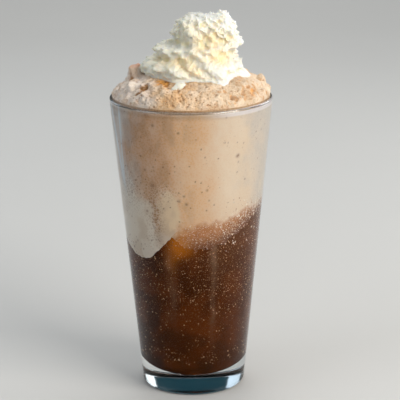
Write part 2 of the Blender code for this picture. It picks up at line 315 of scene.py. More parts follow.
# The soda: dark and nearly opaque, brown with an amber cast where it is thin, up to the
# uneven face where the foam hangs into it. It is a turned body that reaches just into
# the glass's wall, so that no air shows between them.

soda_reach = 0.00014
soda_level = 0.1010
soda_overlap = 0.0015
# Hollows of the soda's face, which the foam fills: middle (x, y), depth, half width.
soda_hollows = (
    ((0.0030, -0.0300), 0.0115, 0.0092),
    ((0.0150, -0.0270), 0.0070, 0.0068),
    ((0.0000, 0.0240), 0.0040, 0.0140),
)
# Heights in millimetres of the soda's edge on the wall, by bearing from the front in
# degrees; to the right is positive.
soda_edge = (
    (-180, 97.5), (-140, 98.5), (-95, 93), (-68, 90), (-48, 86), (-33, 88), (-23, 92), (-15, 93.6),
    (-10, 89.5), (-2, 87.2), (11, 87), (19, 87.5), (28, 89), (34, 91), (40, 94), (48, 95.5),
    (66, 101.5), (86, 102), (120, 101), (150, 98),
)
# Pale wisps near the wall, those at bearings 20 and 21 at the right front a painted reflection streak
# of the right-hand light in the glass; and amber places: strength, bearing, height, half widths.
soda_wisps_and_reflection = ((1, 21, 84, 3.4, 15), (0.6, 20, 56, 3, 20), (0.35, -20, 62, 5, 20), (0.6, -22, 77, 6, 6))
soda_ambers = ((1, -7, 88, 9, 5), (0.9, -15, 91, 5, 5), (0.5, -16, 84, 8, 5), (0.35, -20, 77, 6, 7))


def lattice(x, y, z, seed):
    """An even random number for each whole-number lattice point: a bit-mixing hash."""
    mixed = (x * 73856093) ^ (y * 19349663) ^ (z * 83492791) ^ (seed * 265443577)
    mixed = mixed & 0xFFFFFFFF
    mixed = ((mixed ^ (mixed >> 15)) * 2246822519) & 0xFFFFFFFF
    mixed = ((mixed ^ (mixed >> 13)) * 3266489917) & 0xFFFFFFFF
    return ((mixed ^ (mixed >> 16)) & 0xFFFFFF) / float(0x1000000)


def noise(points, size, seed):
    """Soft noise from -1 to 1: lattice numbers, blended by an S across each cell."""
    place = np.asarray(points) / size
    cell = np.floor(place).astype(np.int64)
    part = place - cell
    part = part * part * (3.0 - 2.0 * part)
    total = 0.0
    for corner in range(8):
        step = np.array((corner & 1, corner >> 1 & 1, corner >> 2 & 1))
        share = np.prod(np.where(step, part, 1.0 - part), axis=-1)
        spot = cell + step
        total = total + share * lattice(spot[..., 0], spot[..., 1], spot[..., 2], seed)
    return 2.0 * total - 1.0


def rough_noise(points, size, seed, octaves=4):
    """Noise of the given size plus finer noise of half the strength, again and again."""
    total = 0.0
    for octave in range(octaves):
        total = total + noise(points, size / 2**octave, seed + octave) / 2**octave
    return total


def nearest_cell(points, size, seed):
    """For scattered points, one to a cell: the distance to the nearest, in cells, and
    that point's own random number."""
    place = np.asarray(points) / size
    cell = np.floor(place).astype(np.int64)
    nearest = np.full(place.shape[:-1], 9.0)
    own = np.zeros(place.shape[:-1])
    for step in np.ndindex(3, 3, 3):
        spot = cell + np.array(step) - 1
        x, y, z = np.moveaxis(spot, -1, 0)
        centre = spot + np.stack([lattice(x, y, z, seed + k) for k in range(3)], axis=-1)
        away = np.linalg.norm(place - centre, axis=-1)
        closer = away < nearest
        nearest = np.where(closer, away, nearest)
        own = np.where(closer, lattice(x, y, z, seed + 7), own)
    return nearest, own


def soft_step(value, low, high):
    """0 at low, 1 at high, an S between them."""
    t = np.clip((value - low) / (high - low), 0.0, 1.0)
    return t * t * (3.0 - 2.0 * t)


def front_bearing(x, y):
    """Bearing from the front in degrees, to the right positive."""
    return np.degrees(np.arctan2(x, -y))


def wall_place(points):
    """Bearing from the front in degrees and height in mm."""
    return front_bearing(points[..., 0], points[..., 1]), 1000.0 * points[..., 2]


def wall_line(table, bearing):
    """The height in mm of a line on the wall: straight between its bearings, and then
    the mean over 8 degrees, which rounds its corners."""
    degrees, height = np.array(table, float).T
    aside = np.linspace(-4.0, 4.0, 5)
    total = sum(np.interp(bearing + turn, degrees, height, period=360.0) for turn in aside)
    return total / len(aside)


def wall_bells(bearing, z, *spots):
    """Soft spots on the wall, added: each has a strength, which it reaches at its middle
    bearing and height, and two half widths over which it falls as a bell."""
    return sum(
        strength * np.exp(-(((bearing - middle) / wide) ** 2) - ((z - up) / tall) ** 2)
        for strength, middle, up, wide, tall in spots
    )


def front_bearings(segments):
    """Angles once round Z from +X, closer together at the front: each even angle from the
    front less 0.35 of its sine."""
    even = np.linspace(-np.pi, np.pi, segments, endpoint=False)
    return even - 0.35 * np.sin(even) - 0.5 * np.pi


def soda_height(x, y):
    """The level less a bell for each hollow that the foam fills."""
    height = soda_level + 0.0 * x
    for (cx, cy), depth, width in soda_hollows:
        height = height - depth * np.exp(-((x - cx) ** 2 + (y - cy) ** 2) / (2 * width**2))
    return height


def make_soda():
    """Floor, rounded corner and wall follow the glass up to the edge; the top passes
    from the edge's height to soda_height inwards."""
    segments = 360
    corner = corner_arc(inner_radius, floor_height, floor_corner, 26)
    middle = np.array((corner[0, 0], floor_height + floor_corner))[:, None]
    corner = middle + (corner - middle) * (1.0 + soda_reach / floor_corner)
    bottom_r = np.concatenate((corner[0, 0] * np.linspace(0.05, 0.95, 6), corner[0]))
    bottom_z = np.concatenate((np.full(6, corner[1, 0]), corner[1]))
    bottom = turned(bottom_r, bottom_z, segments)
    angle = full_turn(segments)
    edge = 0.001 * wall_line(soda_edge, front_bearing(np.cos(angle), np.sin(angle))) + soda_overlap
    rise = np.linspace(0.0, 1.0, 151)[1:, None]
    wall_z = corner[1, -1] + rise * (edge - corner[1, -1])
    wall = polar(inner_radius(wall_z) + soda_reach, angle, wall_z)
    share = np.linspace(1.0, 0.04, 24)[1:, None]
    top = share[..., None] * wall[-1]
    inside = soda_height(top[..., 0], top[..., 1])
    top[..., 2] = inside + (edge - inside) * soft_step(share, 0.6, 1.0)
    rings = np.concatenate((bottom, wall, top))
    where, z = wall_place(rings)
    swirl = rough_noise(rings, 0.012, 85, 3)
    swirled = where + 3.0 * swirl, z + 3.0 * swirl
    strand = noise(rings * np.array((1.0, 1.0, 0.3)), 0.0024, 86)
    # pale wisps; at the right front a painted reflection streak of the right-hand light
    wisp_and_reflection = wall_bells(*swirled, *soda_wisps_and_reflection) * (0.7 + 0.6 * strand)
    amber = wall_bells(*swirled, *soda_ambers)
    face = wall_line(soda_edge, where)
    near_face = soft_step(z, face - 30, face - 2)
    # painted reflection: a lighter haze over the soda, growing towards the right and near the foam,
    # where the glass reflects the light
    reflection_haze = soft_step(where, -30, 60) * (0.25 + 0.75 * near_face) * (np.abs(where) < 150)
    mottle = np.clip(0.5 + 0.5 * rough_noise(rings, 0.011, 81, 4), 0, 1)
    paint = Paint("dark_soda", Specular_IOR_Level=0.0, Roughness=0.5)
    lift = paint.axis("Z").step(0.025, 0.080) * 0.8 + 0.2
    fine = paint.specks(0.0010, 0.34, 0.12, 0.007, 0.38, 0.62, (0.1, 0, 0))
    speck = paint.specks(0.0017, 0.22, 0.10, 0.005, 0.40, 0.60, (0.4, 0, 0))
    tone = paint.layers(
        linear(70, 31, 5),
        (paint.attribute("mottle").step(0.25, 0.85), (98, 46, 9)),
        # painted reflection haze, lighter brown towards the right
        (paint.attribute("reflection_haze") * 0.62, (128, 80, 50)),
        (paint.attribute("amber") * 0.80, (192, 110, 30)),
        # pale wisps, partly a painted reflection streak of the right-hand light
        (paint.attribute("wisp_and_reflection") * 0.45, (176, 140, 112)),
        (fine * lift * 0.55, (176, 122, 84)),
        (speck * lift * 0.6, (214, 166, 124)),
    )
    paint.feed("Base Color", tone)
    painted = {"wisp_and_reflection": wisp_and_reflection, "amber": amber, "reflection_haze": reflection_haze, "mottle": mottle}
    poles = (0, 0, corner[1, 0]), (0, 0, soda_height(0.0, 0.0))
    closed_piece("soda", rings, *poles, paint, "dark_soda", "dark_soda", painted)


make_soda()

# The bubbles that cling to the inside of the wall in the soda: small beads of gas that
# look pale brown through the glass, crowded under the foam and sparse near the floor.

mid_wall = 0.034
bead_corners = 6
bead_taller = 0.4


def wall_net(seed, low, high, step):
    """Places on the wall: one to a cell of an even net of angles and heights, moved at
    random inside it, with its bearing; and two random numbers from 0 to 1 for each."""
    draw = np.random.default_rng(seed)
    turn = step / mid_wall
    angle, z = np.meshgrid(np.arange(0.0, 2.0 * np.pi, turn), np.arange(low, high, step))
    angle = angle.ravel() + draw.uniform(-0.5, 0.5, angle.size) * turn
    z = z.ravel() + draw.uniform(-0.5, 0.5, z.size) * step
    where = front_bearing(np.cos(angle), np.sin(angle))
    return angle, z, where, draw.uniform(0.0, 1.0, z.size), draw.uniform(0.0, 1.0, z.size)


def wall_beads(name, angle, z, size, reach, tones):
    """Beads on the wall: for each, two rings and two poles of a ball, up to 1.4 times as
    tall as wide, its middle a fifth of its radius inside the contents' face. Their colour
    drifts between two tones."""
    paint = Paint(name, Roughness=0.3, Specular_IOR_Level=0.2)
    drift = paint.cloud(0.0020, detail=1.0).step(0.40, 0.60)
    paint.feed("Base Color", paint.mix(drift, linear(*tones[0]), linear(*tones[1])))
    count = bead_corners
    centre = polar(inner_radius(z) + reach - 0.2 * size, angle, z)
    out = np.concatenate(([-1.0], np.repeat((-0.4, 0.5), count), [1.0]))
    flat = np.sqrt(1.0 - out**2)
    turn = np.concatenate(([0.0], np.tile(full_turn(count), 2), [0.0]))
    upward = np.zeros((len(z), 3))
    upward[:, 2] = 1.0 + bead_taller * (1000.0 * z % 1.0)
    ways = polar(1.0, angle, 0.0), polar(1.0, angle + 0.5 * np.pi, 0.0), upward
    shares = out, flat * np.cos(turn), flat * np.sin(turn)
    ball = sum(share[None, :, None] * way[:, None] for share, way in zip(shares, ways))
    points = centre[:, None] + size[:, None, None] * ball
    ring = 1 + np.arange(count)
    beside = np.roll(ring, -1)
    last = 2 * count + 1
    cap = np.column_stack((np.zeros(count, int), beside, ring))
    quads = np.column_stack((ring, beside, beside + count, ring + count))
    end = np.column_stack((ring + count, beside + count, np.full(count, last)))
    shift = (np.arange(len(size)) * (last + 1))[:, None, None]
    groups = [(group[None] + shift).reshape(-1, group.shape[1]) for group in (cap, quads, end)]
    mesh_piece(name, points.reshape(-1, 3), groups, paint)


def make_soda_bubbles():
    """Beads of the net in the soda; fewer are kept lower down and at the left, and more
    again at the floor's corner."""
    angle, z, where, luck, big = wall_net(41, 0.0190, 0.1040, 0.00125)
    size = 0.00015 + 0.00028 * big**3
    lift = soft_step(z, 0.030, 0.075)
    likely = 0.16 + 0.34 * (1.0 + soft_step(where, -25, 30)) * lift + 0.3 * soft_step(z, 0.030, 0.022)
    spot = 1000.0 * polar(mid_wall, angle, z)
    keep = luck < likely * (0.8 + 0.5 * noise(spot, 8.0, 5))
    keep &= z < 0.001 * wall_line(soda_edge, where) - 0.0002
    tones = (124, 72, 36), (228, 178, 128)
    wall_beads("soda_bubbles", angle[keep], z[keep], size[keep], soda_reach, tones)


make_soda_bubbles()

# The scoop: vanilla ice cream, melting at its face, floating in the soda and pressed
# against the glass at the left. It is a lumpy ball whose points stop just inside the
# wall's inner face, so that a broad flat patch of it shows through the glass.

scoop_radius = 0.0270
scoop_offset = 0.0150
scoop_bearing = math.radians(-54.0)
scoop_height = 0.0975
scoop_lump = 0.0007
scoop_waves = ((5.0, 0.0, 2.0, 0.0), (0.0, 4.0, -3.0, 1.0), (3.0, 0.0, 6.0, 2.0))
scoop_reach = 0.00022
# The dent where the foam cuts into it: its middle, half width and depth.
scoop_dent = (-0.0020, -0.0360, 0.0920)
scoop_dent_width = 0.0085
scoop_dent_depth = 0.0032
# The foam's own lower edge on the wall, over the bubbly zone; as soda_edge.
foam_edge = (
    (-180, 101), (-110, 101), (-90, 96), (-20, 93), (-13, 94), (-10, 96), (-4, 98.5), (1, 100),
    (10, 101.5), (18, 102), (27, 101.5), (37, 104), (54, 106), (73, 107), (90, 107), (120, 104),
    (150, 101),
)
# The lower edge of the melted ice cream on the wall; as soda_edge.
scoop_edge = (
    (-120, 100), (-100, 94), (-90, 89.5), (-80, 85), (-70, 81.5), (-61, 80), (-50, 79), (-41, 80),
    (-34, 83.2), (-27, 87.4), (-21, 91.4), (-16, 94.6), (-10, 99),
)
# The brown seam between the ice cream's two lobes: height in mm and bearing.
lobe_seam = ((90, -29), (97, -32.5), (103, -34), (109, -35.5), (115, -38), (122, -43))
# Single large bubbles at the wall: bearing, height and radius in mm.
single_bubbles = (
    (-6, 117.4, 0.6), (-10, 114.5, 0.7), (-4, 112.9, 0.7), (12, 120.5, 0.6), (14, 114.7, 0.4),
    (-9, 152.2, 0.6), (-41, 137.7, 0.5), (-38, 130.4, 0.7), (-32, 122.0, 0.8), (37, 137.8, 1.0),
    (38, 134.3, 0.4), (46, 123.8, 0.4), (-28, 155.6, 0.7), (12, 109.2, 0.4), (-39, 148.4, 0.5),
    (-56, 115.5, 0.6), (-39, 107.1, 0.6), (-33, 98.1, 0.7), (-62, 83.5, 0.6), (-55, 88.1, 0.5),
    (-48, 84.1, 0.4),
)
# Where dark bubbles crowd and where the net of small ones lies: strength, bearing, height, half
# widths.
bubble_crowds = ((0.6, -44, 122, 15, 12), (0.35, -58, 88, 14, 6), (0.2, -8, 118, 14, 10))
lace_spots = ((1, -60, 117, 15, 13), (0.9, -34, 102, 8, 15), (0.7, -22, 118, 11, 5))


def froth_marks(points):
    """Where the pale things at the wall are milky, stained or bubbly, and where a painted
    reflection lies, each 0 to 1. milk: the first lobe of melted ice cream; lobe: the second,
    warmer one; streak: the brown seam between them; mixed: foam and soda run together under
    the foam's own edge; deep: how near that is to the soda; amber: soda that shines through;
    holes: dark bubbles; the pale streaks down the glass's left edge: painted reflection;
    blotch: uneven froth; lace: a net of small bubbles."""
    where, z = wall_place(points)
    waver = rough_noise(points, 0.009, 71, 4)
    at, up = where + 4.0 * waver, z + 2.2 * waver
    height, bearing = np.array(lobe_seam, float).T
    seam = np.interp(up, height, bearing)
    milk = soft_step(seam - at, 0.0, 3.5) * soft_step(116.0 - 0.12 * (at + 60.0) - up, -5.0, 5.0)
    milk = milk * soft_step(at, -115, -95)
    torn = 0.18 * noise(points, 0.0022, 74) + 0.28 * noise(points, 0.0070, 76)
    lobe = soft_step(1.0 - np.hypot((at + 21.5) / 12.0, (up - 106.5) / 13.5) + torn, -0.14, 0.34)
    lobe = lobe * soft_step(at - seam, 0.5, 3.5)
    streak = 0.8 * np.exp(-(((at - seam - 1.2) / 3.4) ** 2))
    streak = streak * soft_step(up, 86, 91) * soft_step(118 - up, 0, 8)
    streak = streak + wall_bells(at, up, (0.45, -36, 122, 14, 7))
    edge = wall_line(foam_edge, where)
    ragged = 1.5 * noise(points, 0.0032, 72) + 1.2 * noise(points, 0.0014, 73)
    mixed = soft_step(edge - z + ragged, -2.5, 3.0)
    deep = soft_step(wall_line(soda_edge, where) + 5.0 - z + ragged, -5.0, 5.0)
    away, own = nearest_cell(points, 0.0021, 75)
    crowd = 0.12 + 0.8 * streak + wall_bells(where, z, *bubble_crowds)
    holes = soft_step(away, 0.27, 0.10) * (own < crowd)
    uneven = 0.9 + 0.6 * noise(points, 0.0007, 79)
    for bearing, high, wide in single_bubbles:
        bubble = wall_bells(where, z, (1.0, bearing, high, 1.6 * wide, wide))
        holes = np.maximum(holes, np.clip(bubble * uneven, 0, 1))
    lace = wall_bells(at, up, *lace_spots)
    # painted reflection: pale bluish streaks down the glass's left edge, painted on the froth
    streak_noise = noise(np.stack((where / 2.4, 0.012 * z, 0.0 * z), axis=-1), 1.0, 77)
    edge_reflection = wall_bells(where, z, (0.5, -70, 138, 12, 26)) * soft_step(streak_noise, -0.15, 0.35)
    for lean, wide in ((-9.5, 3.0), (5.0, 1.7)):
        run = np.exp(-(((where + 67.0 - lean * (z - 118.0) / 40.0) / wide) ** 2))
        edge_reflection = np.maximum(edge_reflection, run * soft_step(z, 112.0, 124.0))
    blotch = 0.5 + 0.5 * rough_noise(points * np.array((1.0, 1.0, 0.55)), 0.0065, 78, 4)
    amber = wall_bells(at, up, (1.0, -9, 92, 9, 8))
    marks = {
        "milk": milk, "lobe": lobe, "streak": streak, "mixed": mixed, "deep": deep, "amber": amber,
        "holes": holes, "edge_reflection": edge_reflection, "blotch": blotch, "lace": lace,
    }
    return {name: np.clip(share, 0.0, 1.0) for name, share in marks.items()}


def froth_paint(name):
    """Tan froth with fine bubbles, browner at the left and pinkish beige at the right: partly its own
    colour, partly painted shade at the left and painted light at the right, with painted shade darkest
    at the far left edge.
    """
    paint = Paint(name, Specular_IOR_Level=0.25, Roughness=0.55)
    drift = paint.cloud(0.020, detail=5.0, rough=0.6, stretch=(1.0, 1.0, 0.8)) * 0.034 - 0.017
    across = paint.axis("X") + drift
    tone = paint.layers(
        linear(212, 198, 188),
        # browner at the left, pale beige at the right: partly the froth's own colour, partly painted
        # shade at the left and painted light at the right
        (across.step(-0.036, -0.026), (214, 166, 124)),
        (across.step(-0.022, 0.000), (238, 194, 146)),
        (across.step(0.000, 0.022), (242, 220, 194)),
        (across.step(0.024, 0.038), (218, 206, 194)),
        # painted shade: darker grey at the far left, at the glass's shaded edge
        (across.step(-0.036, -0.041), (160, 142, 130)),
        (paint.cells(0.0011).step(0.20, 0.62) * 0.20, (250, 236, 218)),
        (paint.specks(0.0019, 0.17, 0.07, 0.009, 0.48, 0.60, (0.5, 0.2, 0)) * 0.6, (150, 98, 58)),
    )
    return paint, tone


def wall_tone(paint, tone):
    """The froth's tone with what froth_marks painted on a piece at the wall."""
    milk, lobe, lace, deep, blotch = map(paint.attribute, ("milk", "lobe", "lace", "deep", "blotch"))
    net = paint.cells(0.0015, "DISTANCE_TO_EDGE")
    tone = paint.layers(
        tone,
        (blotch.step(0.50, 0.15) * paint.axis("X").step(0.008, -0.012) * 0.26, (156, 106, 68)),
        (blotch.step(0.50, 0.90) * 0.22, (250, 234, 214)),
        (milk * 0.9, (240, 228, 212)),
        (lobe * 0.85, (244, 222, 190)),
        ((milk + lobe) * blotch.step(0.56, 0.22) * 0.34, (204, 176, 146)),
        (paint.attribute("streak") * 0.42, (172, 134, 98)),
        (lace * net.step(0.10, 0.30) * 0.45, (158, 128, 104)),
        (lace * net.step(0.09, 0.02) * 0.60, (244, 236, 224)),
    )
    right = paint.axis("X").step(0.008, 0.026) * 0.08
    fizz = paint.cells(0.0009).step(0.36, 0.14) * (0.64 - deep * 0.16 + right)
    bubbly = paint.layers(
        linear(198, 130, 80),
        (deep, (112, 54, 18)),
        (paint.attribute("amber") * 0.85, (216, 136, 50)),
        (fizz, (248, 230, 212)),
    )
    return paint.layers(
        paint.mix(paint.attribute("mixed") * 0.92, tone, bubbly),
        # painted reflection of the glass's left edge, pale bluish
        (paint.attribute("edge_reflection") * 0.8, (232, 240, 248)),
        (paint.attribute("holes") * 0.72, (126, 66, 28)),
    )


def ball_grid(around, up):
    """A unit ball's points by latitude, from the lowest up, and longitude."""
    latitude = np.linspace(-0.5 * np.pi, 0.5 * np.pi, up)[:, None]
    return polar(np.cos(latitude), full_turn(around), np.sin(latitude))


def make_scoop():
    """A ball's normals by latitude and longitude, times a radius with soft waves, with
    a dent where the foam cuts in; then each point is drawn back to the wall, and under
    the melted edge a little behind it."""
    normal = ball_grid(300, 200)
    lump = sum(np.sin(normal @ np.array(wave[:3]) + wave[3]) for wave in scoop_waves)
    centre = polar(scoop_offset, scoop_bearing - 0.5 * np.pi, scoop_height)
    radius = scoop_radius + scoop_lump * lump + 0.0004 * rough_noise(normal, 0.22, 5)
    points = centre + normal * radius[..., None]
    away = np.linalg.norm(points - np.array(scoop_dent), axis=-1) / scoop_dent_width
    points = points - normal * (scoop_dent_depth * np.exp(-(away**2)))[..., None]
    where, z = wall_place(points)
    ragged = 0.9 * noise(points, 0.0045, 67) + 0.4 * noise(points, 0.0016, 68)
    below = soft_step(wall_line(scoop_edge, where) + ragged - z, 0.0, 0.9)
    limit = inner_radius(points[..., 2]) + scoop_reach - 0.0012 * below
    reach = np.hypot(points[..., 0], points[..., 1])
    points[..., :2] *= np.minimum(1.0, limit / np.maximum(reach, 1e-6))[..., None]
    rings = points[1:-1]
    paint, tone = froth_paint("vanilla_ice_cream")
    paint.feed("Base Color", wall_tone(paint, tone))
    marks = froth_marks(rings)
    marks["milk"] = np.maximum(marks["milk"], soft_step(100.0 - 1000.0 * rings[..., 2], 0.0, 8.0))
    marks["mixed"] = 0.0 * marks["mixed"]
    poles = points[0, 0], points[-1, 0]
    closed_piece("vanilla_scoop", rings, *poles, paint, "vanilla_ice_cream", "ice_cream", marks)


make_scoop()

# The foam in the glass: soda froth with melted ice cream in it, tan to pale beige, which
# rose over the soda and fills the upper half. It is a smooth body against the wall, with
# a ragged lower edge in front of the soda's.

foam_reach = 0.00010
foam_front = 0.00009
foam_lap = 0.0040
foam_drop = 0.0015


def make_foam_body():
    """Rings up the wall from below the soda's face to the rim. The radius is the wall's
    plus a small reach, and steps in front of the soda's above a ragged line."""
    angle = front_bearings(440)
    line = 0.001 * wall_line(soda_edge, front_bearing(np.cos(angle), np.sin(angle)))
    top = glass_height - foam_drop
    share = np.concatenate((np.linspace(0.0, 0.36, 100), np.linspace(0.36, 1.0, 100)[1:]))[:, None]
    low = line - foam_lap
    z = low + share * (top - low)
    radius = inner_radius(z)
    on_wall = polar(radius, angle, z)
    fringe = 0.0013 * noise(on_wall, 0.0024, 11) + 0.0011 * noise(on_wall, 0.0010, 12)
    front = soft_step(z - line + fringe, -0.0001, 0.0003)
    wall = polar(radius + foam_reach + foam_front * front, angle, z)
    share = np.linspace(0.05, 0.97, 10)[:, None]
    under = share[..., None] * wall[0]
    inside = soda_height(under[..., 0], under[..., 1]) - foam_lap
    under[..., 2] = inside + (low - inside) * soft_step(share, 0.6, 1.0)
    over = np.linspace(0.97, 0.05, 6)[:, None, None] * wall[-1]
    over[..., 2] = top
    rings = np.concatenate((under, wall, over))
    paint, tone = froth_paint("soda_foam")
    # painted shade: a darker brown band just under the rim at the front and left, the rim's shadow in
    # the foam
    rim_shade = paint.axis("Z").step(0.1580, 0.1612) * paint.axis("X").step(0.030, 0.012)
    # painted highlight: a pale band at the rim on the right, where the rim catches the light
    rim_glint = paint.axis("Z").step(0.1594, 0.1604) * paint.axis("X").step(0.004, 0.026)
    tone = paint.layers(
        wall_tone(paint, tone), (rim_shade * 0.35, (150, 106, 70)), (rim_glint * 0.8, (255, 246, 246))
    )
    paint.feed("Base Color", tone)
    poles = (0, 0, soda_height(0.0, 0.0) - foam_lap), (0, 0, top)
    closed_piece("foam_body", rings, *poles, paint, "soda_foam", "foam", froth_marks(rings))


make_foam_body()

# The foam's head: the same froth, domed over the rim, with round lumps, pores, burst
# bubbles and wet brown places. It rests on the foam in the glass and over the rim, and
# the cream sits in its middle.

head_radius = 0.0428
head_start = 0.0009
head_tall = 0.0139
head_tilt = 0.011
head_seat = 0.0020
# How far lumps, grain and beads stand out, and pores, holes and wet places go in.
head_lump, head_grain, head_bead = 0.0016, 0.0004, 0.00025
head_pore, head_hole, head_wet_dip = 0.0005, 0.0004, 0.0009
front_power, left_power, right_power = 4.0, 1.2, 2.7
# Waves of the head: strength, and for x and y two sines' radians a metre and phase.
foam_waves = (
    (0.0007, (620.0, 250.0, 1.3), (-210.0, 560.0, 0.4)),
    (0.00042, (930.0, -540.0, 2.2), (410.0, 880.0, 0.0)),
)
# Single mounds: middle (x, y), height and half width.
foam_mounds = (
    ((-0.0306, -0.0010), 0.0084, 0.0034),
    ((-0.0340, -0.0140), 0.0016, 0.0040),
    ((0.0392, 0.0000), 0.0030, 0.0028),
    ((0.0290, -0.0240), 0.0016, 0.0045),
    ((-0.0120, -0.0365), 0.0012, 0.0040),
    ((0.0120, -0.0350), 0.0012, 0.0050),
    ((-0.0160, 0.0340), 0.0012, 0.0050),
    ((0.0220, 0.0300), 0.0010, 0.0060),
)
# Wet brown places on the head: middle (x, y), half length, half width, and turn.
foam_stains = (
    ((-0.0255, -0.0262), 0.0042, 0.0030, 20.0),
    ((-0.0146, -0.0266), 0.0048, 0.0034, -60.0),
    ((-0.0120, -0.0305), 0.0030, 0.0022, 70.0),
    ((0.0196, -0.0262), 0.0020, 0.0012, 15.0),
    ((0.0225, -0.0345), 0.0022, 0.0018, 0.0),
    ((0.0318, -0.0245), 0.0030, 0.0022, 40.0),
    ((0.0262, -0.0290), 0.0024, 0.0016, 0.0),
    ((0.0290, -0.0150), 0.0022, 0.0014, 30.0),
    ((-0.0318, -0.0070), 0.0014, 0.0022, 0.0),
)
cream_foot = (0.0022, -0.0015)
cream_seat = 0.0298
cream_seat_fade = 0.0030
# The cream's tongues on the foam: bearing, how far each runs out, and half width.
cream_tongues = (
    (-62.0, 0.0060, 11.0), (-6.0, 0.0040, 13.0), (-112.0, 0.0022, 9.0), (140.0, 0.0030, 16.0)
)


def head_height(x, y):
    """The dome: a superellipse whose side power passes from the front's to the left's
    and the right's, raised to 0.6."""
    spread = np.clip(np.hypot(x, y) / head_radius, 0.0, 1.0)
    left = (left_power - front_power) * soft_step(-x, 0.012, 0.034)
    right = (right_power - front_power) * soft_step(x, 0.012, 0.034)
    power = front_power + (left + right) * soft_step(y, -0.026, -0.004)
    return glass_height + head_start + (head_tall + head_tilt * y) * (1.0 - spread**power) ** 0.6


def tongue_reach(angle):
    """How far the cream's tongues run out at a bearing: a bell for each."""
    reach = 0.0 * angle
    for bearing, extra, half_width in cream_tongues:
        aside = np.degrees(np.angle(np.exp(1j * (angle - math.radians(bearing)))))
        reach = reach + extra * np.exp(-((aside / half_width) ** 2))
    return reach


def turned_bell(x, y, middle, long_, wide, turn):
    """A soft oval spot, 1 at its middle, turned anticlockwise by degrees."""
    cosine, sine = math.cos(math.radians(turn)), math.sin(math.radians(turn))
    along = (x - middle[0]) * cosine + (y - middle[1]) * sine
    across = (y - middle[1]) * cosine - (x - middle[0]) * sine
    return np.exp(-((along / long_) ** 2) - (across / wide) ** 2)


